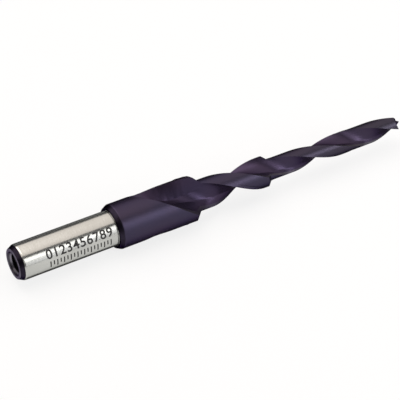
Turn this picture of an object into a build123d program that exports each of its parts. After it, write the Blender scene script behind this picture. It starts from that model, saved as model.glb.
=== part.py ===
from build123d import *
import math
import os

# Step drill bit, millimetres. The axis is X: the shank end at minus X, the cutting tip at plus X.
# The origin is on the axis, in the plane where the shank meets the back of the collar.
# Angles around the axis are measured from plus Z toward minus Y.

# shank
shank_diameter = 8.0
shank_length = 23.0
shank_chamfer = 0.6
shank_chamfer_length = 1.2

# threaded hole in the shank's end
hole_diameter = 4.2
hole_depth = 12.0
hole_mouth_diameter = 5.5
hole_bottom_angle = 118.0

# stepped body: the diameters over the cutting margins, and where each front corner is
collar_diameter = 10.5
collar_corner = 20.5
middle_diameter = 7.0
middle_corner = 38.8
small_diameter = 5.0
point_reach = 75.2
shoulder_angle = 45.0

# the collar's back edge
back_chamfer = 0.5
back_chamfer_length = 1.0

# how much lower the lands are than their cutting margins, and where the margins begin
collar_clearance = 0.18
middle_clearance = 0.11
small_clearance = 0.08
margin_start = 17.7
margin_width = 13.0

# flutes, as left by a round-edged grinding wheel carried along a helix
flute_lead = 41.5
flute_angle = -49.3
flute_angle_at = 30.0
wheel_radius = 35.6
wheel_edge = 3.8
wheel_tilt = 31.8
web_radius = 0.96
wheel_stop = 15.9
flute_outside = 6.4
flute_overrun = 2.8

# relief behind the cutting edges of the shoulders
collar_relief = 1.9
middle_relief = 1.1

# brad point: its length and radius, and how far the lips fall back from its foot to the corners
point_length = 1.2
point_radius = 0.75
lip_fall = 0.6
tip_relief_angle = 25.0
point_foot = point_reach - point_length
tip_corner = point_foot - lip_fall
flute_end = point_reach + flute_overrun


def flute_centre(x):
    """The angle of the first flute's middle at x, in degrees."""
    return flute_angle + 360.0 * (x - flute_angle_at) / flute_lead


def on_axis(x, radius, angle):
    """The point at x, radius and angle around the axis."""
    a = math.radians(angle)
    return (x, -radius * math.sin(a), radius * math.cos(a))


def turned(shape, angle):
    """A shape turned around the axis."""
    return shape.rotate(Axis.X, angle)


def cone_run(radius_a, radius_b):
    """The length of a shoulder between two radii."""
    return (radius_a - radius_b) / math.tan(math.radians(shoulder_angle))


def wheel_gap(x, radius, angle, stop):
    """How far a point is outside the wheel standing at stop; negative inside."""
    a = math.radians(angle - flute_centre(stop))
    along = x - stop
    across = radius * math.sin(a)
    up = radius * math.cos(a) - web_radius - wheel_radius
    tilt = math.radians(wheel_tilt)
    side = math.cos(tilt) * across - math.sin(tilt) * along
    reach = math.sin(tilt) * across + math.cos(tilt) * along
    flat = max(math.hypot(up, reach) - (wheel_radius - wheel_edge), 0.0)
    return math.hypot(flat, side) - wheel_edge


def wheel_entry(x, angle, stop):
    """The radius where a ray from the axis enters the wheel, or None when it passes by."""
    outer = flute_outside + 1.5
    if wheel_gap(x, outer, angle, stop) > 0.0:
        return None
    inner = 0.0
    for _ in range(24):
        middle = (inner + outer) / 2.0
        if wheel_gap(x, middle, angle, stop) > 0.0:
            inner = middle
        else:
            outer = middle
    return outer


def wheel_places(x):
    """Where the wheel may stand when it reaches x: never nearer the shank than its stop."""
    behind, ahead, spacing = -7.0, 16.0, 0.25
    count = int((ahead - behind) / spacing)
    return sorted({max(x + behind + spacing * i, wheel_stop) for i in range(count + 1)})


def floor_radius(x, relative):
    """The flute's floor at x, at an angle from the flute's middle, over all the wheel's places."""
    angle = flute_centre(x) + relative
    best = None
    for stop in wheel_places(x):
        entry = wheel_entry(x, angle, stop)
        if entry is not None and (best is None or entry < best):
            best = entry
    return best


def flute_edge(x, middle, sign, edge_radius=None):
    """The angle from the flute's middle where its floor meets a radius, the outside one by default."""
    if edge_radius is None:
        edge_radius = flute_outside
    farthest = 95.0
    inner = middle
    outer = middle + sign * farthest
    for _ in range(18):
        centre = (inner + outer) / 2.0
        radius = floor_radius(x, centre)
        if radius is not None and radius < edge_radius:
            inner = centre
        else:
            outer = centre
    return inner


def flute_section(x, count=17):
    """Points of the flute's floor at x, evenly spaced along it, as (across, up) from the flute's middle."""
    candidates = []
    widest, spacing = 80, 2
    for relative in range(-widest, widest + 1, spacing):
        radius = floor_radius(x, relative)
        if radius is not None and radius < flute_outside:
            candidates.append((radius, relative))
    if not candidates:
        return None
    middle = min(candidates)[1]
    low = flute_edge(x, middle, -1)
    high = flute_edge(x, middle, 1)
    dense = []
    samples = 90
    for i in range(samples + 1):
        relative = low + (high - low) * (1.0 - math.cos(math.pi * i / samples)) / 2.0
        radius = floor_radius(x, relative)
        if radius is None or i in (0, samples):
            radius = flute_outside
        radius = min(radius, flute_outside)
        a = math.radians(relative)
        dense.append((radius * math.sin(a), radius * math.cos(a)))
    lengths = [0.0]
    for a, b in zip(dense[:-1], dense[1:]):
        lengths.append(lengths[-1] + math.dist(a, b))
    points = []
    k = 0
    for i in range(count):
        goal = lengths[-1] * i / (count - 1)
        while k < len(lengths) - 2 and lengths[k + 1] < goal:
            k += 1
        span = max(lengths[k + 1] - lengths[k], 1e-9)
        t = min(max((goal - lengths[k]) / span, 0.0), 1.0)
        points.append((dense[k][0] + (dense[k + 1][0] - dense[k][0]) * t,
                       dense[k][1] + (dense[k + 1][1] - dense[k][1]) * t))
    return points


def section_wire(x):
    """The closed outline of the flute cutter at x."""
    flat = flute_section(x)
    if flat is None:
        return None
    centre = math.radians(flute_centre(x))
    placed = []
    for across, up in flat:
        y = -(across * math.cos(centre) + up * math.sin(centre))
        z = up * math.cos(centre) - across * math.sin(centre)
        placed.append((x, y, z))
    first = math.degrees(math.atan2(flat[0][0], flat[0][1]))
    last = math.degrees(math.atan2(flat[-1][0], flat[-1][1]))
    top = on_axis(x, flute_outside, flute_centre(x) + (first + last) / 2.0)
    places = [i / (len(placed) - 1) for i in range(len(placed))]
    floor = Edge.make_spline([Vector(*p) for p in placed], parameters=places)
    over = Edge.make_three_point_arc(Vector(*placed[-1]), Vector(*top), Vector(*placed[0]))
    return Wire([floor, over])


def loft_between(stations):
    """A cutter through the flute sections at these places along the axis."""
    wires = []
    for x in stations:
        wire = section_wire(x)
        if wire is not None:
            wires.append(wire)
    return Solid.make_loft(wires)


def flute_cutters():
    """One flute as a row of solids: its run-out in the collar, then equal lengths to past the tip."""
    first, closer_before, least_gap = 4.5, 6.0, 0.4
    wheel_span, span_parts = 14.1, 9
    steady = wheel_stop + wheel_span
    stations = []
    x = first
    while x < wheel_stop - least_gap:
        stations.append(x)
        x += 0.5 if x < closer_before else 1.0
    stations.append(wheel_stop)
    for i in range(1, span_parts + 1):
        stations.append(wheel_stop + wheel_span * i / span_parts)
    cutters = [loft_between(stations)]
    count, sections = 3, 8
    length = (flute_end - steady) / count
    for k in range(count):
        start = steady + k * length
        cutters.append(loft_between([start + length * i / sections for i in range(sections + 1)]))
    return cutters


def sector_wire(x, inner, outer, start, stop):
    """The outline of a ring sector across the axis."""
    middle = (start + stop) / 2.0
    a = Vector(*on_axis(x, inner, start))
    b = Vector(*on_axis(x, outer, start))
    c = Vector(*on_axis(x, outer, stop))
    d = Vector(*on_axis(x, inner, stop))
    over = Edge.make_three_point_arc(b, Vector(*on_axis(x, outer, middle)), c)
    under = Edge.make_three_point_arc(d, Vector(*on_axis(x, inner, middle)), a)
    return Wire([Edge.make_line(a, b), over, Edge.make_line(c, d), under])


def leading_edge(x, radius):
    """The angle of the cutting edge of the land behind the first flute."""
    middle, spacing, farthest = 0.0, 4.0, 180.0
    while middle < farthest and (floor_radius(x, middle) or flute_outside) > radius:
        middle += spacing
    return flute_centre(x) + flute_edge(x, middle, -1, radius)


def margin_rib(start, stop, radius):
    """A strip along a land's cutting edge, reaching a little way into the flute."""
    spacing, into_flute = 2.0, 8.0
    inside, outside = radius * 0.55, radius + 1.2
    count = max(3, int((stop - start) / spacing) + 1)
    wires = []
    for i in range(count):
        x = start + (stop - start) * i / (count - 1)
        edge = leading_edge(x, radius)
        wires.append(sector_wire(x, inside, outside, edge - margin_width, edge + into_flute))
    return Solid.make_loft(wires)


def outline(points):
    """A solid turned round the axis from (x, radius) points."""
    with BuildSketch(Plane.XY) as sketch:
        with BuildLine():
            Polyline(*points, close=True)
        make_face()
    return revolve(sketch.sketch, Axis.X)


collar_radius = collar_diameter / 2.0
middle_radius = middle_diameter / 2.0
small_radius = small_diameter / 2.0
shank_radius = shank_diameter / 2.0
collar_foot = collar_corner + cone_run(collar_radius, middle_radius)
middle_foot = middle_corner + cone_run(middle_radius, small_radius)


def stepped(collar_r, middle_r, small_r):
    """The turned blank, with the three stepped radii given."""
    return outline([
        (-shank_length, 0.0),
        (-shank_length, shank_radius - shank_chamfer),
        (-shank_length + shank_chamfer_length, shank_radius),
        (0.0, shank_radius),
        (0.0, collar_r - back_chamfer),
        (back_chamfer_length, collar_r),
        (collar_corner, collar_r),
        (collar_corner + cone_run(collar_r, middle_r), middle_r),
        (middle_corner, middle_r),
        (middle_corner + cone_run(middle_r, small_r), small_r),
        (tip_corner, small_r),
        (point_foot, point_radius),
        (point_reach, 0.0),
    ])


def shoulder_relief(corner, big_radius, next_radius, drop):
    """The cutter that lets a shoulder fall away behind its cutting edge: all outside an offset cone."""
    edge = leading_edge(corner, big_radius)
    land_sine = 0.87
    shift = drop / land_sine
    reach = math.hypot(big_radius, shift)
    back, before, past = 4.0, 3.4, 0.2
    behind, ahead = 100.0, 12.0
    cone = outline([(corner - back, 0.0), (corner - back, reach + back), (corner + reach, 0.0)])
    cone = cone.moved(Location(Vector(*on_axis(0.0, shift, edge + 90.0))))
    start = corner - before
    stop = corner + cone_run(big_radius, next_radius) + past
    ring = Solid.make_loft([
        sector_wire(start, next_radius, big_radius + 1.0, edge - behind, edge + ahead),
        sector_wire(stop, next_radius, big_radius + 1.0, edge - behind, edge + ahead),
    ], ruled=True)
    return ring - cone


def tip_relief():
    """The cutter behind one lip: its profile along the lip, carried back and down toward the heel."""
    angle = leading_edge(tip_corner, small_radius)
    a = math.radians(angle)
    fall = math.tan(math.radians(tip_relief_angle))
    slope = (point_foot - tip_corner) / (small_radius - point_radius)
    wide = small_radius + 1.5
    deep = small_radius + 2.5
    above = point_reach + 4.0 * small_radius
    wires = []
    for t in (-deep, deep):
        lift = t * fall
        corners = []
        for u, x in ((0.0, point_reach + lift), (point_radius, point_foot + lift),
                     (wide, point_foot - slope * (wide - point_radius) + lift), (wide, above), (0.0, above)):
            y = -u * math.sin(a) - t * math.cos(a)
            z = u * math.cos(a) - t * math.sin(a)
            corners.append(Vector(x, y, z))
        wires.append(Wire.make_polygon(corners, close=True))
    return Solid.make_loft(wires, ruled=True)


def end_hole():
    """The threaded hole's bore, its mouth and its drilled bottom."""
    bore = hole_diameter / 2.0
    mouth = hole_mouth_diameter / 2.0
    end = -shank_length
    bottom = bore / math.tan(math.radians(hole_bottom_angle / 2.0))
    return outline([
        (end - 1.0, 0.0),
        (end - 1.0, mouth),
        (end, mouth),
        (end + mouth - bore, bore),
        (end + hole_depth, bore),
        (end + hole_depth + bottom, 0.0),
    ])


def drill_bit():
    """The whole drill as one solid."""
    body = stepped(collar_radius - collar_clearance, middle_radius - middle_clearance,
                   small_radius - small_clearance)
    full = stepped(collar_radius, middle_radius, small_radius)
    ribs = [
        margin_rib(margin_start, collar_foot, collar_radius),
        margin_rib(collar_foot - 0.3, middle_foot, middle_radius),
        margin_rib(middle_foot - 0.3, tip_corner + 1.0, small_radius),
    ]
    for rib in ribs:
        for half in (0.0, 180.0):
            body = body + (full & turned(rib, half))
    cutters = [
        shoulder_relief(collar_corner, collar_radius, middle_radius, collar_relief),
        shoulder_relief(middle_corner, middle_radius, small_radius, middle_relief),
        tip_relief(),
    ]
    for cutter in cutters + flute_cutters():
        for half in (0.0, 180.0):
            body = body - turned(cutter, half)
    body = body - end_hole()
    return body.solids()[0]


if __name__ == "__main__":
    os.makedirs("parts", exist_ok=True)
    bit = drill_bit()
    bit.label = "step_drill_bit"
    export_step(bit, "parts/step_drill_bit.step")
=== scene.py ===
import bpy
import bmesh
import math
import numpy as np
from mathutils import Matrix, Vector


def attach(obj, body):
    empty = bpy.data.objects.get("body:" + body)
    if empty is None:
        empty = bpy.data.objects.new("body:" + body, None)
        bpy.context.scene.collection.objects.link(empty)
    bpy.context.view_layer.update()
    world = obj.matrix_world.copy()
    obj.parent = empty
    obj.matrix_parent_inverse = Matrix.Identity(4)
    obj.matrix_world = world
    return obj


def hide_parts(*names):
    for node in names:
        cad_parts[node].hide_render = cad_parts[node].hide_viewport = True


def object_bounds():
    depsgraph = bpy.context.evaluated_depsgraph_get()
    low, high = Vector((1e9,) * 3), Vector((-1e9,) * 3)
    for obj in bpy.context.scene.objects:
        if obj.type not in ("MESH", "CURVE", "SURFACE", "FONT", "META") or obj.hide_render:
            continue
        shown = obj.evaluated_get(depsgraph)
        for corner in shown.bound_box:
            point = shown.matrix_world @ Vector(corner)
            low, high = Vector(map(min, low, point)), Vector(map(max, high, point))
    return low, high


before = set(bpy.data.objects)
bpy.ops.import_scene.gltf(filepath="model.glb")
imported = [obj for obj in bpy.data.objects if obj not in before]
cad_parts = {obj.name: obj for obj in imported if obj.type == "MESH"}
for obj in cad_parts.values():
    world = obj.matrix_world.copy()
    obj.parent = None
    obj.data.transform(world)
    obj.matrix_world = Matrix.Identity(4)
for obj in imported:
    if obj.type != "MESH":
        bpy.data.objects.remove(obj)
cad_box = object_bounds()
MM = 0.001

# Sizes in millimetres, the same as the solid's. The axis is X and the tip points to plus X.
# Angles round the axis are in degrees, from plus Z toward minus Y.
SHANK_R = 4.0
SHANK_LENGTH = 23.0
SHANK_END = -SHANK_LENGTH
SHANK_CHAMFER = 0.6
SHANK_CHAMFER_LENGTH = 1.2
SHANK_ROUND = 1.0
SHANK_SLOPE = math.atan2(SHANK_CHAMFER, SHANK_CHAMFER_LENGTH)

# the hole in the shank's end, which is wider here than the solid's bore because its thread is cut
HOLE_R = 2.46
HOLE_THREAD_R = 2.12
HOLE_DEPTH = 12.0
HOLE_BOTTOM_ANGLE = 118.0
HOLE_CONE = HOLE_R / math.tan(math.radians(HOLE_BOTTOM_ANGLE / 2.0))
HOLE_MOUTH_R = 2.75
HOLE_MOUTH = HOLE_MOUTH_R - HOLE_THREAD_R
HOLE_LIP = 0.15
THREAD_PITCH = 0.8
THREAD_SETBACK = 0.9
THREAD_LENGTH = HOLE_DEPTH - 1.3

# Each step of the body: its radius over the cutting margins, how much lower its lands are, its two radii
# together, and where its front corner is.
COLLAR_R = 5.25
COLLAR_CLEARANCE = 0.18
COLLAR = (COLLAR_R - COLLAR_CLEARANCE, COLLAR_R)
COLLAR_CORNER = 20.5
MIDDLE_R = 3.5
MIDDLE_CLEARANCE = 0.11
MIDDLE = (MIDDLE_R - MIDDLE_CLEARANCE, MIDDLE_R)
MIDDLE_CORNER = 38.8
SMALL_R = 2.5
SMALL_CLEARANCE = 0.08
SMALL = (SMALL_R - SMALL_CLEARANCE, SMALL_R)
TIP_CORNER = 73.4
BACK_CHAMFER = 0.5
BACK_CHAMFER_LENGTH = 1.0
BACK_ROUND = 0.5
BACK_SLOPE = math.atan2(BACK_CHAMFER, BACK_CHAMFER_LENGTH)
MARGIN_START = 17.7
MARGIN_RUN = 0.9
MARGIN_WIDTH = 13.0
MARGIN_RISE = 0.35

# how far the shoulders and the tip fall away behind their cutting edges
COLLAR_RELIEF = 1.9
MIDDLE_RELIEF = 1.1
LAND_SINE = 0.87
TIP_RELIEF = math.tan(math.radians(25.0))

# the brad point
POINT_REACH = 75.2
POINT_FOOT = 74.0
POINT_R = 0.75

# the flutes' helix, and the round-edged grinding wheel that is led along it
LEAD = 41.5
FLUTE_ANGLE = -49.3
FLUTE_ANGLE_AT = 30.0
STRAIGHT_BELOW = 5.0
WHEEL_R = 35.6
WHEEL_EDGE = 3.8
WHEEL_TILT = math.radians(31.8)
WHEEL_STOP = 15.9
WHEEL_BEHIND = 7.0
WHEEL_AHEAD = 16.0
WEB_R = 0.96

# the plain scale etched on the shank; it faces the camera
DIGITS = 10
SCALE_START = -16.2
DIGIT_PITCH = 1.58
DIGIT_SIZE = 2.9
DIGIT_HEIGHT = 1.95
DIGIT_WEIGHT = 0.05
TICKS_PER_DIGIT = 2
TICK_WIDTH = 0.28
TICK_LONG = 1.6
TICK_SHORT = 1.1
TICK_DROP = 1.65
STRIP = 0.15
MARK_PROUD = 0.006
MARKS_TURN = 57.0

# The mesh of the drill: how many points half a ring has on each part, and how far apart the rings are.
LAND_COLUMNS = 46
MARGIN_COLUMNS = 8
FLUTE_COLUMNS = 50
HEEL_COLUMNS = 5
HALF = LAND_COLUMNS + MARGIN_COLUMNS + FLUTE_COLUMNS
EDGE_CROWDING = 0.65
FIRST_POINT = 12.0
RUN_OUT_END = 8.0
COLLAR_STEP = 0.35
MIDDLE_STEP = 0.4
SMALL_STEP = 0.45
SHOULDER_STEP = 0.3
RING_GAP = 0.05
ROUNDS = 8
FLOOR_ROUNDS = 6
MAP_R = 3.0

# how many rings each plain or slanting part has; a bevel has some on its slant and some in its rounding
HOLE_CONE_RINGS = 6
HOLE_WALL_RINGS = 24
MOUTH_RINGS = 4
END_FACE_RINGS = 5
SHANK_BEVEL_RINGS = (4, 8)
SHANK_RINGS = 22
BACK_FACE_RINGS = 3
BACK_BEVEL_RINGS = (3, 6)
BLEND_RINGS = 8
RUN_OUT_RINGS = 12
SLANT_RINGS = 6
TIP_RINGS = 16

# how far before and after a slanting corner the rings lean
COLLAR_LEAN = (4.9, 4.0)
MIDDLE_LEAN = (4.0, 3.0)
TIP_LEAN = 6.0

# how wide the tiny bevels are that blunt each sharp edge of the shank
MOUTH_EDGE = 0.03
FACE_EDGE = 0.04
CHAMFER_EDGE = 0.03
CHAMFER_EDGE_R = 0.02
COLLAR_EDGE = 0.05
COLLAR_EDGE_R = 0.04

# The grid over which the wheel's floor is worked out, in millimetres along the axis and degrees round it.
GRID_STEP = 0.125
GRID_TURN = 0.5
GRID_X = np.arange(4.5, 30.26, GRID_STEP)
GRID_A = np.arange(-100.0, 100.01, GRID_TURN)
OUTER = 7.9
WHEEL_STEP = 0.3
FINE_STEPS = 15
FINE_DEPTH = 0.1
SEARCH_FROM = 4.6
SEARCH_STEP = 0.02

# the two sides of a flute, and half the least width it is given where it only just begins, in degrees
CUTTING_SIDE = -1
HEEL_SIDE = 1
NARROWEST = 0.3

# finishes of the drill's faces, by the part of it that a ring is on, and where the flutes' finish begins,
# which is darker partly as painted shade
FINISHES = ("coating", "flute", "shank", "turned", "end_face", "chamfer", "heel_wear_and_highlight")
FINISH_OF = {
    "hole": "turned",
    # the end face and the inner half of the hole's countersunk mouth take the paler end finish: partly the
    # turned face's own tone, partly a painted highlight ring
    "lip": "end_face",
    "mouth": "turned",
    "face": "end_face",
    "chamfer": "chamfer",
    "shank": "shank",
    # the collar's back face and bevel take the near-black chamfer finish as painted shade, for the dark arcs
    # across that bevel
    "back": "chamfer",
    "corner": "coating",
    "body": "coating",
    "tip": "flute",
}
FLUTE_FINISH_FROM = 9.7
BUMP_DEPTH = 0.02 * MM
TURNED_RING = 0.12083 * MM


def twist(x):
    """How far the flutes have turned at x, in degrees; the shank end doesn't turn."""
    return FLUTE_ANGLE + 360.0 * (np.maximum(x, STRAIGHT_BELOW) - FLUTE_ANGLE_AT) / LEAD


def wheel_gap(x, radius, angle, stop):
    """How far a point is outside the wheel standing at stop; negative inside."""
    a = np.radians(angle - 360.0 * (stop - x) / LEAD)
    along = x - stop
    across = radius * np.sin(a)
    up = radius * np.cos(a) - WEB_R - WHEEL_R
    side = math.cos(WHEEL_TILT) * across - math.sin(WHEEL_TILT) * along
    reach = math.sin(WHEEL_TILT) * across + math.cos(WHEEL_TILT) * along
    flat = np.maximum(np.hypot(up, reach) - (WHEEL_R - WHEEL_EDGE), 0.0)
    return np.hypot(flat, side) - WHEEL_EDGE


def wheel_floor():
    """The radius of the flute's floor at each place and angle of the grid."""
    x, angle = np.meshgrid(GRID_X, GRID_A, indexing="ij")
    best = np.full(x.shape, OUTER)
    place = x.copy()

    def cut(stop, depth, halvings):
        """Lets the wheel at stop take away what it reaches, no deeper than depth below what is there."""
        hit = wheel_gap(x, best, angle, stop) < 0.0
        if not hit.any():
            return
        px, pa, ps = x[hit], angle[hit], stop[hit]
        outer = best[hit]
        inner = np.maximum(outer - depth, 0.0)
        for _ in range(halvings):
            middle = (inner + outer) / 2.0
            inside = wheel_gap(px, middle, pa, ps) < 0.0
            outer = np.where(inside, middle, outer)
            inner = np.where(inside, inner, middle)
        best[hit] = outer
        place[hit] = ps

    for offset in np.arange(-WHEEL_BEHIND, WHEEL_AHEAD, WHEEL_STEP):
        cut(np.maximum(x + offset, WHEEL_STOP), depth=OUTER, halvings=15)
    deepest = place.copy()
    for shift in np.linspace(-WHEEL_STEP, WHEEL_STEP, FINE_STEPS):
        cut(np.maximum(deepest + shift, WHEEL_STOP), depth=FINE_DEPTH, halvings=11)
    return best


FLOOR = wheel_floor()


def floor_at(x, angle):
    """The flute's floor radius at places and angles from the flute's middle."""
    x = np.clip(np.asarray(x, float), GRID_X[0], GRID_X[-1] - 1e-6)
    angle = np.clip(np.asarray(angle, float), GRID_A[0], GRID_A[-1] - 1e-6)
    i = (x - GRID_X[0]) / GRID_STEP
    j = (angle - GRID_A[0]) / GRID_TURN
    i0, j0 = np.floor(i).astype(int), np.floor(j).astype(int)
    i0, j0 = np.minimum(i0, len(GRID_X) - 2), np.minimum(j0, len(GRID_A) - 2)
    fi, fj = i - i0, j - j0
    low = FLOOR[i0, j0] * (1 - fj) + FLOOR[i0, j0 + 1] * fj
    high = FLOOR[i0 + 1, j0] * (1 - fj) + FLOOR[i0 + 1, j0 + 1] * fj
    return low * (1 - fi) + high * fi


def floor_across(x):
    """The flute's floor radius at x, at each angle of the grid."""
    return floor_at(np.full(GRID_A.shape, x), GRID_A)


def edge_angle(x, radius, side):
    """The angle from the flute's middle where its floor reaches a radius, on one side of it."""
    floor = floor_across(x)
    k = int(np.argmin(floor))
    if floor[k] >= radius:
        return float(GRID_A[k]) + side * NARROWEST
    while 0 < k < len(GRID_A) - 1 and floor[k + side] < radius:
        k += side
    a, b = floor[k], floor[k + side]
    return float(GRID_A[k] + side * GRID_TURN * (radius - a) / (b - a))


def cutting_edge(x, radius):
    """The angle around the axis of the cutting edge of the land behind the first flute."""
    return float(twist(x)) + edge_angle(x, radius, CUTTING_SIDE)


def set_off_cone(corner, radius, drop):
    """The cone a shoulder is relieved to: its edge angle, sideways shift and reach."""
    shift = drop / LAND_SINE
    return cutting_edge(corner, radius) + 90.0, shift, math.hypot(radius, shift)


COLLAR_CONE = set_off_cone(COLLAR_CORNER, COLLAR_R, COLLAR_RELIEF)
MIDDLE_CONE = set_off_cone(MIDDLE_CORNER, MIDDLE_R, MIDDLE_RELIEF)
TIP_ANGLE = cutting_edge(TIP_CORNER, SMALL_R)


def cone_place(cone, corner, full_radius, radius, angle):
    """Where a shoulder's surface is along the axis, at a radius and an angle around the axis."""
    direction, shift, reach = cone
    a = np.radians(angle - direction)
    across = np.hypot(radius * np.cos(a) - shift, radius * np.sin(a))
    return np.minimum(corner + full_radius - radius, corner + reach - across)


def tip_profile(u):
    """The end's height over its distance from the axis."""
    slope = (POINT_FOOT - TIP_CORNER) / (SMALL_R - POINT_R)
    cone = POINT_REACH - (POINT_REACH - POINT_FOOT) * u / POINT_R
    return np.where(u < POINT_R, cone, POINT_FOOT - slope * (u - POINT_R))


def tip_place(radius, angle):
    """Where the end's surface is along the axis: the lips with their relief, and the point."""
    a = np.radians(angle - TIP_ANGLE)
    u = radius * np.cos(a)
    t = radius * np.sin(a) * np.sign(u)
    return np.minimum(tip_profile(np.abs(u)) + t * TIP_RELIEF, tip_profile(radius))


def smooth(t):
    """Eases from 0 to 1 as t does, with a level start and finish."""
    t = min(max(t, 0.0), 1.0)
    return t * t * (3.0 - 2.0 * t)


def shares(count):
    """The shares of a stretch that count equal steps have covered, the last of them 1."""
    return [k / count for k in range(1, count + 1)]


def across_flute():
    """How far across the flute each of its points is, from 0 to 1: closest together at the two edges."""
    wave = np.cos(np.pi * (np.arange(FLUTE_COLUMNS) / FLUTE_COLUMNS))
    return 0.5 - 0.5 * wave * (1.0 - EDGE_CROWDING + EDGE_CROWDING * np.abs(wave) ** 0.5)


def upright(radius, angle):
    """The shift of a ring that doesn't lean."""
    return np.zeros(np.broadcast(radius, angle).shape)


def even_ring(x, radius):
    """A plain ring, its points evenly spread round the axis."""
    return np.full(HALF, x), np.full(HALF, radius), FIRST_POINT + 180.0 * np.arange(HALF) / HALF


def fluted_ring(centre, radii, shift, floor_follows=False):
    """One ring of points round the fluted body.

    centre is the ring's nominal place, radii are those of its land and its margin, and
    shift(radius, angle) is how far a land's points stand away from centre along the axis.
    Returns places, radii and angles from the flute's middle, for half a turn."""
    land, margin = radii
    lead_x = heel_x = centre
    for _ in range(ROUNDS):
        lead = edge_angle(lead_x, margin, CUTTING_SIDE)
        heel = edge_angle(heel_x, land, HEEL_SIDE)
        lead_x = centre + float(shift(margin, twist(lead_x) + lead))
        heel_x = centre + float(shift(land, twist(heel_x) + heel - 180.0))
    t = across_flute()
    flute_a = lead + (heel - lead) * t
    flute_x = lead_x + (heel_x - lead_x) * t
    flute_r = np.minimum(floor_at(flute_x, flute_a), np.maximum(land, margin))
    flute_r[0] = margin
    if floor_follows:
        for _ in range(FLOOR_ROUNDS):
            flute_x = centre + shift(flute_r, twist(flute_x) + flute_a)
    step = lead + 180.0 - MARGIN_WIDTH
    plain_a = heel + (step - heel) * np.arange(LAND_COLUMNS) / (LAND_COLUMNS - 1)
    raised = (MARGIN_WIDTH - MARGIN_RISE) * np.arange(MARGIN_COLUMNS) / MARGIN_COLUMNS
    land_a = np.concatenate([plain_a, step + MARGIN_RISE + raised])
    land_r = np.concatenate([np.full(LAND_COLUMNS, land), np.full(MARGIN_COLUMNS, margin)])
    land_x = np.full(land_a.shape, centre)
    for _ in range(ROUNDS):
        land_x = centre + shift(land_r, twist(land_x) + land_a - 180.0)
    return (
        np.concatenate([flute_x, land_x]),
        np.concatenate([flute_r, land_r]),
        np.concatenate([flute_a, land_a]),
    )


def hole_rings():
    """The hole: its drilled bottom, its threaded wall, and its countersunk mouth."""
    bottom = SHANK_END + HOLE_DEPTH
    for t in shares(HOLE_CONE_RINGS):
        yield "hole", even_ring(bottom + HOLE_CONE * (1 - t), HOLE_R * t)
    threaded = HOLE_DEPTH - (HOLE_MOUTH + HOLE_LIP + HOLE_R - HOLE_THREAD_R)
    for t in shares(HOLE_WALL_RINGS):
        yield "hole", even_ring(bottom - threaded * t, HOLE_R)
    yield "hole", even_ring(SHANK_END + HOLE_MOUTH + HOLE_LIP, HOLE_THREAD_R)
    yield "hole", even_ring(SHANK_END + HOLE_MOUTH, HOLE_THREAD_R)
    for t in shares(MOUTH_RINGS):
        x = SHANK_END + HOLE_MOUTH * (1 - t) + MOUTH_EDGE * 2.0 / 3.0
        yield "lip" if t <= 0.5 else "mouth", even_ring(x, HOLE_THREAD_R + HOLE_MOUTH * t - MOUTH_EDGE / 3.0)
    yield "mouth", even_ring(SHANK_END, HOLE_MOUTH_R + MOUTH_EDGE)


def setback(rounding, slope):
    """How far a rounded corner begins before its sharp place, for a slope that turns level there."""
    return rounding * math.tan(slope / 2.0)


def bevel_rings(kinds, start, corner, radius, rounding, slope, counts):
    """A bevel from its start, a place and a radius, up to its rounded corner and the full radius."""
    turn = setback(rounding, slope)
    x, low = start
    run = corner - turn * math.cos(slope) - x
    for t in shares(counts[0]):
        yield kinds[0], even_ring(x + run * t, low + run * t * math.tan(slope))
    for t in shares(counts[1]):
        lean = slope * (1.0 - t)
        place = corner + turn - rounding * math.sin(lean)
        yield kinds[1], even_ring(place, radius - rounding * (1.0 - math.cos(lean)))


def shank_rings():
    """The shank: its end face, its bevelled and rounded end, and its plain length up to the collar."""
    face = SHANK_R - SHANK_CHAMFER
    inside = HOLE_MOUTH_R + MOUTH_EDGE
    for t in shares(END_FACE_RINGS):
        yield "face", even_ring(SHANK_END, inside + (face - FACE_EDGE - inside) * t)
    start = (SHANK_END + CHAMFER_EDGE, face + CHAMFER_EDGE_R)
    yield "face", even_ring(*start)
    corner = SHANK_END + SHANK_CHAMFER_LENGTH
    bevel = (corner, SHANK_R, SHANK_ROUND, SHANK_SLOPE)
    yield from bevel_rings(("chamfer", "shank"), start, *bevel, SHANK_BEVEL_RINGS)
    plain = corner + setback(SHANK_ROUND, SHANK_SLOPE)
    for t in shares(SHANK_RINGS):
        yield "shank", even_ring(plain + (-COLLAR_EDGE - plain) * t, SHANK_R)
    yield "shank", even_ring(0.0, SHANK_R + COLLAR_EDGE_R)


def collar_back_rings():
    """The collar's back face, with its bevelled and rounded edge."""
    face = COLLAR[0] - BACK_CHAMFER
    inside = SHANK_R + COLLAR_EDGE_R
    for t in shares(BACK_FACE_RINGS):
        yield "back", even_ring(0.0, inside + (face - inside) * t)
    bevel = (BACK_CHAMFER_LENGTH, COLLAR[0], BACK_ROUND, BACK_SLOPE)
    yield from bevel_rings(("back", "corner"), (0.0, face), *bevel, BACK_BEVEL_RINGS)


def flutes_first_place():
    """Where along the axis the flutes first break the collar's surface."""
    x = SEARCH_FROM
    while float(floor_across(x).min()) > COLLAR[0]:
        x += SEARCH_STEP
    return x


def run_out_rings(apex):
    """Plain rings whose points move round to meet the flutes' first ring, and the flutes' run-out."""
    first = fluted_ring(apex, (COLLAR[0], COLLAR[0]), upright)
    back = BACK_CHAMFER_LENGTH + setback(BACK_ROUND, BACK_SLOPE)
    for t in shares(BLEND_RINGS)[:-1]:
        x, radius, angle = even_ring(back + (apex - back) * t, COLLAR[0])
        yield "body", (x, radius, angle * (1 - smooth(t)) + first[2] * smooth(t))
    yield "body", first
    run_out = [apex + (RUN_OUT_END - apex) * t ** 2 for t in shares(RUN_OUT_RINGS)]
    yield from fluted_rings(run_out, COLLAR)


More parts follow.
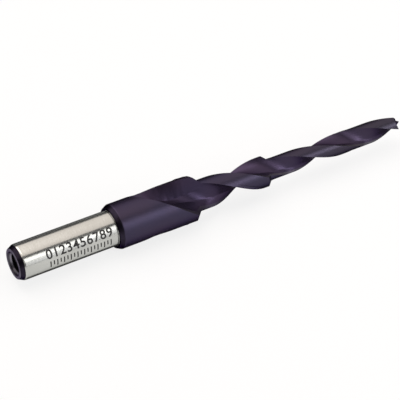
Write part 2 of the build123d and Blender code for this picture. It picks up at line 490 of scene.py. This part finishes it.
def fluted_rings(places, radii, shift_at=None, floor_follows=False):
    """Fluted rings at some places; the margin rises from the land in a short run before it starts."""
    for x in places:
        margin = np.interp(x, (MARGIN_START - MARGIN_RUN, MARGIN_START), radii)
        shift = shift_at(x) if shift_at else upright
        yield "body", fluted_ring(x, (radii[0], float(margin)), shift, floor_follows)


def shoulder_rings(cone, corner, big, small, lean):
    """A relieved shoulder: rings lean over to it, cross its slant, and stand up again after it."""
    before, after = lean
    foot = corner + big[1] - small[1]

    def leaning(start, stop):
        """Rings don't lean at start, and lie in the shoulder's slant at stop."""
        def shift_at(x):
            weight = smooth((x - start) / (stop - start))

            def shift(radius, angle):
                return weight * (cone_place(cone, corner, big[1], radius, angle) - (corner + big[1] - radius))
            return shift
        return shift_at

    def in_slant(radius, angle):
        return cone_place(cone, corner, big[1], radius, angle) - corner

    lead_in = np.arange(corner - before, corner - RING_GAP, SHOULDER_STEP)
    yield from fluted_rings(lead_in, big, leaning(corner - before, corner))
    for t in [0.0] + shares(SLANT_RINGS):
        radii = [wide + (narrow - wide) * t for wide, narrow in zip(big, small)]
        yield "body", fluted_ring(corner, radii, in_slant)
    lead_out = np.arange(foot + SHOULDER_STEP, foot + after - RING_GAP, SHOULDER_STEP)
    yield from fluted_rings(lead_out, small, leaning(foot + after, foot))


def level_rings(start, stop, step, radii):
    """Evenly spaced rings that don't lean."""
    yield from fluted_rings(np.arange(start, stop - RING_GAP, step), radii)


def leaning_to_tip(x):
    """The shift of a ring near the tip, which lies in the end's own surface at the corner."""
    weight = smooth((x - (TIP_CORNER - TIP_LEAN)) / TIP_LEAN)
    return lambda radius, angle: weight * (tip_place(radius, angle) - TIP_CORNER)


def tip_rings():
    """The last of the small step, and the end from its corner in toward the point."""
    places = np.linspace(TIP_CORNER - TIP_LEAN, TIP_CORNER, TIP_RINGS)
    rings = list(fluted_rings(places, SMALL, leaning_to_tip, floor_follows=True))
    yield from rings
    x, radius, angle = rings[-1][1]
    turned = angle + twist(x)
    from_first = turned - np.where(np.arange(HALF) >= FLUTE_COLUMNS, 180.0, 0.0)
    for t in shares(TIP_RINGS)[:-1]:
        places = tip_place(radius * (1.0 - t), from_first)
        yield "tip", (places, radius * (1.0 - t), turned - twist(places))


def drill_rings():
    """Every ring of the drill, from the bottom of its hole, out round the shank and on to the tip."""
    yield from hole_rings()
    yield from shank_rings()
    yield from collar_back_rings()
    yield from run_out_rings(flutes_first_place())
    yield from level_rings(RUN_OUT_END + COLLAR_STEP, COLLAR_CORNER - COLLAR_LEAN[0], COLLAR_STEP, COLLAR)
    yield from shoulder_rings(COLLAR_CONE, COLLAR_CORNER, COLLAR, MIDDLE, COLLAR_LEAN)
    collar_done = COLLAR_CORNER + COLLAR_R - MIDDLE_R + COLLAR_LEAN[1]
    yield from level_rings(collar_done, MIDDLE_CORNER - MIDDLE_LEAN[0], MIDDLE_STEP, MIDDLE)
    yield from shoulder_rings(MIDDLE_CONE, MIDDLE_CORNER, MIDDLE, SMALL, MIDDLE_LEAN)
    middle_done = MIDDLE_CORNER + MIDDLE_R - SMALL_R + MIDDLE_LEAN[1]
    yield from level_rings(middle_done, TIP_CORNER - TIP_LEAN, SMALL_STEP, SMALL)
    yield from tip_rings()


def finish_of(kind, place, column):
    """The finish of a face; the flutes have their own, partly painted shade, with a paler edge along the heel
    that is partly worn and partly a painted highlight.
    """
    if kind == "body" and place > FLUTE_FINISH_FROM and column < FLUTE_COLUMNS:
        return "flute" if column < FLUTE_COLUMNS - HEEL_COLUMNS else "heel_wear_and_highlight"
    return FINISH_OF[kind]


def drill_mesh():
    """The drill with straight flutes, as rings of points joined into faces.

    Its map has the place along the axis as u and the way round as v, both in millimetres."""
    kinds, rings = zip(*drill_rings())
    around = 2 * HALF
    last = len(rings) - 1
    hole_end = len(rings) * around
    point_end = hole_end + 1
    points = []
    for x, radius, angle in rings:
        for half in (0.0, 180.0):
            a = np.radians(angle + half)
            points.append(np.stack([x, -radius * np.sin(a), radius * np.cos(a)], axis=1))
    points.append([[SHANK_END + HOLE_DEPTH + HOLE_CONE, 0.0, 0.0], [POINT_REACH, 0.0, 0.0]])
    faces = []
    finishes = []
    mapped = []

    def on_map(i, j):
        """A point's place on the map; j runs on past a full turn, so that the map has no jump in it."""
        x, _, angle = rings[i]
        turn = angle[j % HALF] + 180.0 * (j // HALF)
        return x[j % HALF], MAP_R * math.radians(turn)

    def add(face, finish, corners):
        faces.append(face)
        finishes.append(FINISHES.index(finish))
        mapped.extend(on_map(i, j) for i, j in corners)

    for j in range(around):
        k = (j + 1) % around
        add((hole_end, k, j), "turned", [(0, j), (0, j + 1), (0, j)])
        for i in range(last):
            finish = finish_of(kinds[i + 1], rings[i][0][0], j % HALF)
            add((i * around + j, i * around + k, (i + 1) * around + k, (i + 1) * around + j), finish,
                [(i, j), (i, j + 1), (i + 1, j + 1), (i + 1, j)])
        add((last * around + j, last * around + k, point_end), "flute", [(last, j), (last, j + 1), (last, j)])
    mesh = bpy.data.meshes.new("step_drill")
    mesh.from_pydata((np.concatenate(points) * MM).tolist(), [], faces)
    layer = mesh.uv_layers.new(name="turned_out")
    layer.uv.foreach_set("vector", np.array(mapped, dtype=np.float32).ravel())
    finish = mesh.attributes.new("finish", "INT", "FACE")
    finish.data.foreach_set("value", finishes)
    mesh.update()
    return mesh


def link(tree, a, b):
    """Joins an output socket to an input socket."""
    tree.links.new(a, b)


def math_node(tree, operation, a, b=None):
    """The result of a sum on one or two inputs, each a number or a socket."""
    node = tree.nodes.new("ShaderNodeMath")
    node.operation = operation
    for k, value in enumerate((a, b)):
        if value is None:
            continue
        if isinstance(value, (int, float)):
            node.inputs[k].default_value = value
        else:
            link(tree, value, node.inputs[k])
    return node.outputs[0]


def parts_of(tree, vector):
    """The X, Y and Z of a vector socket."""
    split = tree.nodes.new("ShaderNodeSeparateXYZ")
    link(tree, vector, split.inputs[0])
    return split.outputs["X"], split.outputs["Y"], split.outputs["Z"]


def new_tree(name, sizes, finishes):
    """An empty Geometry Nodes tree with named inputs for its sizes and materials."""
    tree = bpy.data.node_groups.new(name, "GeometryNodeTree")

    def socket(label, way, kind):
        made = tree.interface.new_socket(label, in_out=way, socket_type="NodeSocket" + kind)
        return made.identifier

    socket("Geometry", "INPUT", "Geometry")
    ids = {label: socket(label, "INPUT", "Float") for label in sizes}
    ids.update({label: socket(label, "INPUT", "Material") for label in finishes})
    socket("Geometry", "OUTPUT", "Geometry")
    start = tree.nodes.new("NodeGroupInput")
    finish = tree.nodes.new("NodeGroupOutput")
    return tree, ids, start, finish


def moved_to(tree, start, place):
    """The tree's own shape, each point moved to its new place."""
    move = tree.nodes.new("GeometryNodeSetPosition")
    link(tree, start.outputs["Geometry"], move.inputs["Geometry"])
    link(tree, place, move.inputs["Position"])
    return move.outputs[0]


def realized(tree, shape):
    """The shape with nothing in it left as an instance."""
    real = tree.nodes.new("GeometryNodeRealizeInstances")
    link(tree, shape, real.inputs[0])
    return real.outputs[0]


def painted(tree, shape, finish, chosen=None):
    """The shape with a material on it, or on its chosen faces alone."""
    paint = tree.nodes.new("GeometryNodeSetMaterial")
    link(tree, shape, paint.inputs["Geometry"])
    link(tree, finish, paint.inputs["Material"])
    if chosen is not None:
        link(tree, chosen, paint.inputs["Selection"])
    return paint.outputs[0]


def numbered(tree, number):
    """The faces whose finish has this number."""
    kind = tree.nodes.new("GeometryNodeInputNamedAttribute")
    kind.data_type = "INT"
    kind.inputs["Name"].default_value = "finish"
    same = tree.nodes.new("FunctionNodeCompare")
    same.data_type = "INT"
    same.operation = "EQUAL"
    same_a, same_b = [socket for socket in same.inputs if socket.type == "INT"]
    same_b.default_value = number
    link(tree, kind.outputs["Attribute"], same_a)
    return same.outputs["Result"]


def twist_tree():
    """Turns a straight-fluted drill into a spiral one: each place turns with its distance along the axis."""
    sizes = ("Lead", "Straight below", "Turned at", "Angle there")
    tree, ids, start, finish = new_tree("spiral_flutes", sizes, FINISHES)
    place = tree.nodes.new("GeometryNodeInputPosition").outputs[0]
    held = math_node(tree, "MAXIMUM", parts_of(tree, place)[0], start.outputs["Straight below"])
    away = math_node(tree, "SUBTRACT", held, start.outputs["Turned at"])
    turns = math_node(tree, "DIVIDE", away, start.outputs["Lead"])
    further = math_node(tree, "MULTIPLY", turns, 2.0 * math.pi)
    turn = tree.nodes.new("ShaderNodeVectorRotate")
    turn.rotation_type = "X_AXIS"
    link(tree, place, turn.inputs["Vector"])
    link(tree, math_node(tree, "ADD", further, start.outputs["Angle there"]), turn.inputs["Angle"])
    shape = realized(tree, moved_to(tree, start, turn.outputs["Vector"]))
    for number, name in enumerate(FINISHES):
        shape = painted(tree, shape, start.outputs[name], numbered(tree, number))
    link(tree, shape, finish.inputs[0])
    return tree, ids


def wrapping_tree():
    """Lays flat marks on a cylinder along X: their x stays, and their y becomes the way round."""
    tree, ids, start, finish = new_tree("marks_on_shank", ("Radius", "Turned by"), ("Material",))
    radius = start.outputs["Radius"]
    x, y, _ = parts_of(tree, tree.nodes.new("GeometryNodeInputPosition").outputs[0])
    angle = math_node(tree, "SUBTRACT", start.outputs["Turned by"], math_node(tree, "DIVIDE", y, radius))
    sine = math_node(tree, "MULTIPLY", math_node(tree, "SINE", angle), radius)
    join = tree.nodes.new("ShaderNodeCombineXYZ")
    link(tree, x, join.inputs["X"])
    link(tree, math_node(tree, "MULTIPLY", sine, -1.0), join.inputs["Y"])
    link(tree, math_node(tree, "MULTIPLY", math_node(tree, "COSINE", angle), radius), join.inputs["Z"])
    shape = realized(tree, moved_to(tree, start, join.outputs[0]))
    link(tree, painted(tree, shape, start.outputs["Material"]), finish.inputs[0])
    return tree, ids


def thread_tree():
    """A screw thread inside a hole along X: a four-sided ridge carried along a spiral."""
    sizes = ("Radius", "Ridge", "Pitch", "Length", "Start")
    tree, ids, start, finish = new_tree("hole_thread", sizes, ("Material",))
    spiral = tree.nodes.new("GeometryNodeCurveSpiral")
    spiral.inputs["Resolution"].default_value = 48
    turns = math_node(tree, "DIVIDE", start.outputs["Length"], start.outputs["Pitch"])
    link(tree, turns, spiral.inputs["Rotations"])
    link(tree, start.outputs["Radius"], spiral.inputs["Start Radius"])
    link(tree, start.outputs["Radius"], spiral.inputs["End Radius"])
    link(tree, start.outputs["Length"], spiral.inputs["Height"])
    level = tree.nodes.new("GeometryNodeSetCurveNormal")
    level.mode = "Z_UP"
    link(tree, spiral.outputs[0], level.inputs["Curve"])
    ridge = tree.nodes.new("GeometryNodeCurvePrimitiveCircle")
    ridge.inputs["Resolution"].default_value = 4
    link(tree, start.outputs["Ridge"], ridge.inputs["Radius"])
    tube = tree.nodes.new("GeometryNodeCurveToMesh")
    tube.inputs["Fill Caps"].default_value = True
    link(tree, level.outputs[0], tube.inputs["Curve"])
    link(tree, ridge.outputs[0], tube.inputs["Profile Curve"])
    offset = tree.nodes.new("ShaderNodeCombineXYZ")
    link(tree, start.outputs["Start"], offset.inputs["X"])
    lay = tree.nodes.new("GeometryNodeTransform")
    lay.inputs["Rotation"].default_value = (0.0, math.pi / 2.0, 0.0)
    link(tree, offset.outputs[0], lay.inputs["Translation"])
    link(tree, tube.outputs[0], lay.inputs["Geometry"])
    shape = realized(tree, lay.outputs[0])
    link(tree, painted(tree, shape, start.outputs["Material"]), finish.inputs[0])
    return tree, ids


def plain_mesh(item):
    """An object's finished shape as a plain mesh."""
    finished = bpy.context.evaluated_depsgraph_get()
    finished.update()
    return bpy.data.meshes.new_from_object(item.evaluated_get(finished), depsgraph=finished)


def made_by(tree_and_ids, values, mesh, name):
    """Runs a tree on a mesh and returns the finished plain object."""
    tree, ids = tree_and_ids
    worker = bpy.data.objects.new(name + "_worker", mesh)
    bpy.context.scene.collection.objects.link(worker)
    modifier = worker.modifiers.new("nodes", "NODES")
    modifier.node_group = tree
    for label, value in values.items():
        modifier[ids[label]] = value
    made = plain_mesh(worker)
    worker.modifiers.clear()
    bpy.data.objects.remove(worker)
    made.name = name
    piece = bpy.data.objects.new(name, made)
    bpy.context.scene.collection.objects.link(piece)
    return piece


def material(name, colour, metallic, roughness):
    """A new material, its node tree and its main shader."""
    made = bpy.data.materials.new(name)
    made.use_nodes = True
    shader = made.node_tree.nodes["Principled BSDF"]
    shader.inputs["Base Color"].default_value = (*colour, 1.0)
    shader.inputs["Metallic"].default_value = metallic
    shader.inputs["Roughness"].default_value = roughness
    return made, made.node_tree, shader


def own_place(tree):
    """The object's own coordinates."""
    return tree.nodes.new("ShaderNodeTexCoord").outputs["Object"]


def noise(tree, coords, stretched, size, detail):
    """Noise on some coordinates, which are stretched first."""
    stretch = tree.nodes.new("ShaderNodeMapping")
    stretch.inputs["Scale"].default_value = stretched
    grain = tree.nodes.new("ShaderNodeTexNoise")
    grain.inputs["Scale"].default_value = size
    grain.inputs["Detail"].default_value = detail
    link(tree, coords, stretch.inputs["Vector"])
    link(tree, stretch.outputs["Vector"], grain.inputs["Vector"])
    return grain.outputs["Fac"]


def between(tree, value, low, high, from_low=0.3, from_high=0.7):
    """A value brought from one range to another."""
    node = tree.nodes.new("ShaderNodeMapRange")
    node.inputs["From Min"].default_value = from_low
    node.inputs["From Max"].default_value = from_high
    node.inputs["To Min"].default_value = low
    node.inputs["To Max"].default_value = high
    link(tree, value, node.inputs["Value"])
    return node.outputs["Result"]


def two_colours(tree, value, first, second):
    """A colour between two, chosen by the middle part of a noise's range."""
    ramp = tree.nodes.new("ShaderNodeValToRGB")
    start, stop = ramp.color_ramp.elements
    start.position = 0.35
    start.color = (*first, 1.0)
    stop.position = 0.65
    stop.color = (*second, 1.0)
    link(tree, value, ramp.inputs["Fac"])
    return ramp.outputs["Color"]


def bumped(tree, shader, value, strength):
    """Fine relief on a surface, from a value."""
    bump = tree.nodes.new("ShaderNodeBump")
    bump.inputs["Strength"].default_value = strength
    bump.inputs["Distance"].default_value = BUMP_DEPTH
    link(tree, value, bump.inputs["Height"])
    link(tree, bump.outputs["Normal"], shader.inputs["Normal"])


def paler_to_point(tree, colour, tip_colour):
    """Fades a colour toward a paler one from the collar's corner to where the tip begins."""
    along = parts_of(tree, own_place(tree))[0]
    tip_start = (TIP_CORNER - TIP_LEAN) * MM
    share = between(tree, along, low=0.0, high=0.85, from_low=COLLAR_CORNER * MM, from_high=tip_start)
    mix = tree.nodes.new("ShaderNodeMix")
    mix.data_type = "RGBA"
    from_colour, to_colour = [socket for socket in mix.inputs if socket.type == "RGBA"]
    to_colour.default_value = (*tip_colour, 1.0)
    link(tree, share, mix.inputs["Factor"])
    link(tree, colour, from_colour)
    return [socket for socket in mix.outputs if socket.type == "RGBA"][0]


def rings_round(tree):
    """Fine lines round the axis, as turning and cylindrical grinding leave."""
    return noise(tree, own_place(tree), (9.0, 1.0, 1.0), size=900.0, detail=5.0)


def lines_along_flute(tree):
    """Fine lines along the flute, as the grinding wheel leaves; they follow the drill's own map."""
    coords = tree.nodes.new("ShaderNodeUVMap")
    coords.uv_map = "turned_out"
    return noise(tree, coords.outputs["UV"], (0.25, 7.0, 1.0), size=1.0, detail=4.0)


def coated_steel(name, lines, first, second, tip_colour, metallic, roughness):
    """Dark oxide over ground steel, between two colours and paler toward the point.

    It has a satin sheen and fine grinding lines."""
    made, tree, shader = material(name, first, metallic, roughness[0])
    shader.inputs["Specular IOR Level"].default_value = 0.0
    shader.inputs["Specular Tint"].default_value = (0.06, 0.05, 0.08, 1.0)
    tint = noise(tree, own_place(tree), (0.5, 1.0, 1.0), size=160.0, detail=3.0)
    colour = two_colours(tree, tint, first, second)
    link(tree, paler_to_point(tree, colour, tip_colour), shader.inputs["Base Color"])
    grain = lines(tree)
    link(tree, between(tree, grain, *roughness), shader.inputs["Roughness"])
    bumped(tree, shader, grain, strength=0.08)
    return made


def ground_steel():
    """The shank: bright steel with fine rings left by grinding, which draw reflections out along it."""
    made, tree, shader = material("ground_shank_steel", (0.52, 0.52, 0.51), metallic=1.0, roughness=0.22)
    shader.inputs["Specular Tint"].default_value = (0.45, 0.45, 0.45, 1.0)
    shader.inputs["Anisotropic"].default_value = 0.6
    along = tree.nodes.new("ShaderNodeTangent")
    along.direction_type = "UV_MAP"
    along.uv_map = "turned_out"
    link(tree, along.outputs["Tangent"], shader.inputs["Tangent"])
    rings = noise(tree, own_place(tree), (60.0, 1.0, 1.0), size=260.0, detail=6.0)
    patches = noise(tree, own_place(tree), (0.6, 1.0, 1.0), size=220.0, detail=3.0)
    colour = two_colours(tree, patches, (0.487, 0.489, 0.462), (0.538, 0.540, 0.512))
    link(tree, colour, shader.inputs["Base Color"])
    link(tree, between(tree, rings, 0.16, 0.30), shader.inputs["Roughness"])
    bumped(tree, shader, rings, strength=0.12)
    return made


def turned_end(name, first, second):
    """The shank's end: turned steel, darkened, between two colours, with rings round the axis."""
    made, tree, shader = material(name, first, metallic=1.0, roughness=0.34)
    shader.inputs["Specular Tint"].default_value = (0.3, 0.28, 0.34, 1.0)
    _, y, z = parts_of(tree, own_place(tree))
    squares = [math_node(tree, "MULTIPLY", side, side) for side in (y, z)]
    across = math_node(tree, "SQRT", math_node(tree, "ADD", *squares))
    waves = math_node(tree, "SINE", math_node(tree, "MULTIPLY", across, 2.0 * math.pi / TURNED_RING))
    grain = noise(tree, own_place(tree), (1.0, 1.0, 1.0), size=700.0, detail=4.0)
    link(tree, two_colours(tree, grain, first, second), shader.inputs["Base Color"])
    link(tree, between(tree, grain, 0.26, 0.38), shader.inputs["Roughness"])
    bumped(tree, shader, waves, strength=0.10)
    return made


def etched_mark():
    """What laser marking leaves on the shank: dull, dark and a little uneven."""
    made, tree, shader = material("etched_mark", (0.03, 0.03, 0.03), metallic=0.5, roughness=0.55)
    grain = noise(tree, own_place(tree), (1.0, 1.0, 1.0), size=2500.0, detail=4.0)
    colour = two_colours(tree, grain, (0.012, 0.011, 0.012), (0.045, 0.043, 0.042))
    link(tree, colour, shader.inputs["Base Color"])
    link(tree, between(tree, grain, 0.45, 0.7), shader.inputs["Roughness"])
    return made


def stage_finish(name, grey, glow):
    """A plain matt finish for what the drill is shown on, which shines a little by itself."""
    made, tree, shader = material(name, (grey, grey, grey), metallic=0.0, roughness=0.9)
    shader.inputs["Specular IOR Level"].default_value = 0.0
    shader.inputs["Emission Color"].default_value = (1.0, 1.0, 1.0, 1.0)
    shader.inputs["Emission Strength"].default_value = glow
    return made


def digit_mesh(number):
    """One digit of the scale as a flat mesh, above and below the line that it is written on."""
    text = bpy.data.curves.new("digit", "FONT")
    text.body = str(number)
    text.size = DIGIT_SIZE * MM
    text.offset = DIGIT_WEIGHT * MM
    text.align_x = "CENTER"
    holder = bpy.data.objects.new("digit", text)
    bpy.context.scene.collection.objects.link(holder)
    digit = plain_mesh(holder)
    bpy.data.objects.remove(holder)
    for vertex in digit.vertices:
        vertex.co.x += (SCALE_START + DIGIT_PITCH * number) * MM
        vertex.co.y -= DIGIT_HEIGHT / 2.0 * MM
    return digit


def scale_marks():
    """A plain scale in one flat mesh: numbers over a row of ticks, cut into strips that can be bent."""
    flat = bmesh.new()
    for number in range(DIGITS):
        flat.from_mesh(digit_mesh(number))
    for number in range((DIGITS - 1) * TICKS_PER_DIGIT + 1):
        x = SCALE_START + DIGIT_PITCH * number / TICKS_PER_DIGIT
        length = TICK_LONG if number % TICKS_PER_DIGIT == 0 else TICK_SHORT
        corners = [flat.verts.new(((x + a * TICK_WIDTH / 2.0) * MM, (b - TICK_DROP) * MM, 0.0))
                   for a, b in ((-1, -length), (1, -length), (1, 0.0), (-1, 0.0))]
        flat.faces.new(corners)
    cut = -TICK_DROP - TICK_LONG
    while cut < DIGIT_HEIGHT:
        whole = flat.verts[:] + flat.edges[:] + flat.faces[:]
        bmesh.ops.bisect_plane(flat, geom=whole, plane_co=(0.0, cut * MM, 0.0), plane_no=(0.0, 1.0, 0.0))
        cut += STRIP
    mesh = bpy.data.meshes.new("scale_flat")
    flat.to_mesh(mesh)
    flat.free()
    return mesh


# finishes
land = coated_steel(
    "dark_oxide_steel", rings_round,
    first=(0.055, 0.042, 0.069),
    second=(0.048, 0.041, 0.073),
    tip_colour=(0.051, 0.046, 0.063),
    metallic=0.88,
    roughness=(0.34, 0.44),
)
# the flutes' darker, purpler colours are partly painted shade for the shade and dark reflections deep in the
# concave flutes; the rest is the ground flutes' own finish
flute = coated_steel(
    "flute_oxide_and_painted_shade", lines_along_flute,
    first=(0.051, 0.035, 0.064),
    second=(0.044, 0.034, 0.066),
    tip_colour=(0.048, 0.037, 0.064),
    metallic=0.78,
    roughness=(0.30, 0.40),
)
# the heel edge of each flute is paler: partly worn coating, partly a painted highlight standing in for the
# bright floor reflected near the waists
heel_wear_and_highlight = coated_steel(
    "heel_wear_and_highlight_steel", rings_round,
    first=(0.054, 0.045, 0.070),
    second=(0.082, 0.072, 0.100),
    tip_colour=(0.090, 0.083, 0.098),
    metallic=0.85,
    roughness=(0.32, 0.44),
)
ground = ground_steel()
turned_hole = turned_end("turned_hole_steel", (0.055, 0.051, 0.060), (0.080, 0.075, 0.086))
# a paler copy of the turned finish: partly painted highlight, for the light ring of the end face and the
# hole's rim
turned_and_lit_face = turned_end("turned_and_lit_face_steel", (0.165, 0.152, 0.182), (0.215, 0.202, 0.236))
# near-black: the shank end's chamfer keeps its dark coating, and on the collar's back the same finish is
# painted shade
chamfer_and_shade_finish = turned_end("chamfer_and_shade_steel", (0.018, 0.014, 0.023), (0.027, 0.022, 0.036))

# the drill, in one piece
drill_values = {
    "Lead": LEAD * MM,
    "Straight below": STRAIGHT_BELOW * MM,
    "Turned at": FLUTE_ANGLE_AT * MM,
    "Angle there": math.radians(FLUTE_ANGLE),
    "coating": land,
    "flute": flute,
    "shank": ground,
    "turned": turned_hole,
    "end_face": turned_and_lit_face,
    "chamfer": chamfer_and_shade_finish,
    "heel_wear_and_highlight": heel_wear_and_highlight,
}
drill = made_by(twist_tree(), drill_values, drill_mesh(), "step_drill")
drill.data.polygons.foreach_set("use_smooth", [True] * len(drill.data.polygons))
drill.data.set_sharp_from_angle(angle=math.radians(20.0))
drill.data.update()
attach(drill, "root")
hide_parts("step_drill_bit")

# the thread in the shank's end
thread_values = {
    "Radius": HOLE_R * MM,
    "Ridge": (HOLE_R - HOLE_THREAD_R) * MM,
    "Pitch": THREAD_PITCH * MM,
    "Length": THREAD_LENGTH * MM,
    "Start": (SHANK_END + THREAD_SETBACK) * MM,
    "Material": turned_hole,
}
thread = made_by(thread_tree(), thread_values, bpy.data.meshes.new("empty"), "hole_thread")
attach(thread, "root")

# the scale on the shank
marks_values = {
    "Radius": (SHANK_R + MARK_PROUD) * MM,
    "Turned by": math.radians(MARKS_TURN),
    "Material": etched_mark(),
}
marks = made_by(wrapping_tree(), marks_values, scale_marks(), "shank_scale")
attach(marks, "root")


def sheet_on_floor(name, x_from, x_to, y_from, y_to, height, finish):
    """A flat sheet lying level, for the floor and the dark card on it, in metres."""
    flat = bpy.data.meshes.new(name)
    corners = [(x_from, y_from), (x_to, y_from), (x_to, y_to), (x_from, y_to)]
    flat.from_pydata([(x, y, height) for x, y in corners], [], [(0, 1, 2, 3)])
    flat.materials.append(finish)
    lying = bpy.data.objects.new(name, flat)
    bpy.context.scene.collection.objects.link(lying)
    return lying


def softbox(name, turn, spread, distance, x_from, x_to, brightness, colour):
    """A long soft light beside the drill's axis, in metres.

    turn is where it hangs, in degrees from straight above toward the front, and spread is half its width,
    in degrees as seen from the axis."""
    light = bpy.data.lights.new(name, "AREA")
    light.shape = "RECTANGLE"
    light.size = x_to - x_from
    light.size_y = 2.0 * distance * math.tan(math.radians(spread))
    light.energy = math.pi * brightness * light.size * light.size_y
    light.color = colour
    around = math.radians(turn)
    holder = bpy.data.objects.new(name, light)
    holder.location = ((x_from + x_to) / 2.0, -distance * math.sin(around), distance * math.cos(around))
    holder.rotation_euler = (around, 0.0, 0.0)
    holder.visible_camera = False
    bpy.context.scene.collection.objects.link(holder)


# the floor under the drill, and a dark card on it, behind the drill, that shows in reflections alone: painted
# shade, standing in for the floor's shade under and behind the drill where the drill's outline and underside
# reflect it
floor_height = cad_box[0][2]
floor_finish = stage_finish("studio_floor", grey=0.18, glow=0.80)
sheet_on_floor("floor", x_from=-3.0, x_to=3.0, y_from=-3.0, y_to=3.0,
               height=floor_height, finish=floor_finish)
# painted shade: the card's dark, faintly glowing finish stands in for the shaded floor in reflections
card_finish = stage_finish("reflected_shade_card", grey=0.02, glow=0.10)
card_height = floor_height + 0.05 * MM
reflected_shade_card = sheet_on_floor("reflected_shade_card", x_from=-0.0215, x_to=0.031, y_from=-0.0040, y_to=0.5,
                           height=card_height, finish=card_finish)
reflected_shade_card.visible_camera = False
reflected_shade_card.visible_diffuse = False
reflected_shade_card.visible_shadow = False

# light
softbox("overhead", turn=-17.5, spread=41.0, distance=0.45, x_from=-0.7, x_to=0.9,
        brightness=1.08, colour=(1.0, 0.91, 0.85))
softbox("overhead_edge", turn=-22.0, spread=30.0, distance=0.44, x_from=-0.14, x_to=0.05,
        brightness=1.7, colour=(1.0, 0.97, 0.95))
softbox("front", turn=52.2, spread=10.8, distance=0.50, x_from=-0.06, x_to=1.2,
        brightness=2.15, colour=(1.0, 0.99, 0.98))
softbox("front_low", turn=76.0, spread=12.0, distance=0.50, x_from=0.02, x_to=1.0,
        brightness=1.05, colour=(0.98, 0.98, 1.0))
softbox("front_far", turn=67.0, spread=8.0, distance=0.48, x_from=0.27, x_to=0.60,
        brightness=5.2, colour=(0.99, 1.0, 1.0))

world = bpy.data.worlds.new("studio")
world.use_nodes = True
sky = world.node_tree.nodes["Background"]
sky.inputs["Color"].default_value = (0.80, 0.80, 0.82, 1.0)
sky.inputs["Strength"].default_value = 0.16
bpy.context.scene.world = world
bpy.context.scene.view_settings.view_transform = "Standard"

# The camera looks down on the drill from beyond its shank. Its place, in metres, fits the photo's outline.
LOOKED_AT = Vector((0.021, 0.0, 0.0))
HEADING = Vector((0.5095, 0.8605, 0.0))
CAMERA_RISE = math.radians(38.8)
CAMERA_DISTANCE = 0.400
CAMERA_ASIDE = 0.00101
CAMERA_LOWER = 0.00070
lens = bpy.data.cameras.new("camera")
lens.sensor_width = 36.0
lens.lens = 165.4
lens.clip_start = 0.01
lens.clip_end = 10.0
camera = bpy.data.objects.new("camera", lens)
bpy.context.scene.collection.objects.link(camera)
ahead = HEADING.normalized() * math.cos(CAMERA_RISE) + Vector((0.0, 0.0, -math.sin(CAMERA_RISE)))
aside = Vector((ahead.y, -ahead.x, 0.0)).normalized()
upward = aside.cross(ahead)
camera.location = LOOKED_AT - ahead * CAMERA_DISTANCE + aside * CAMERA_ASIDE - upward * CAMERA_LOWER
camera.rotation_euler = ahead.to_track_quat("-Z", "Y").to_euler()
bpy.context.scene.camera = camera
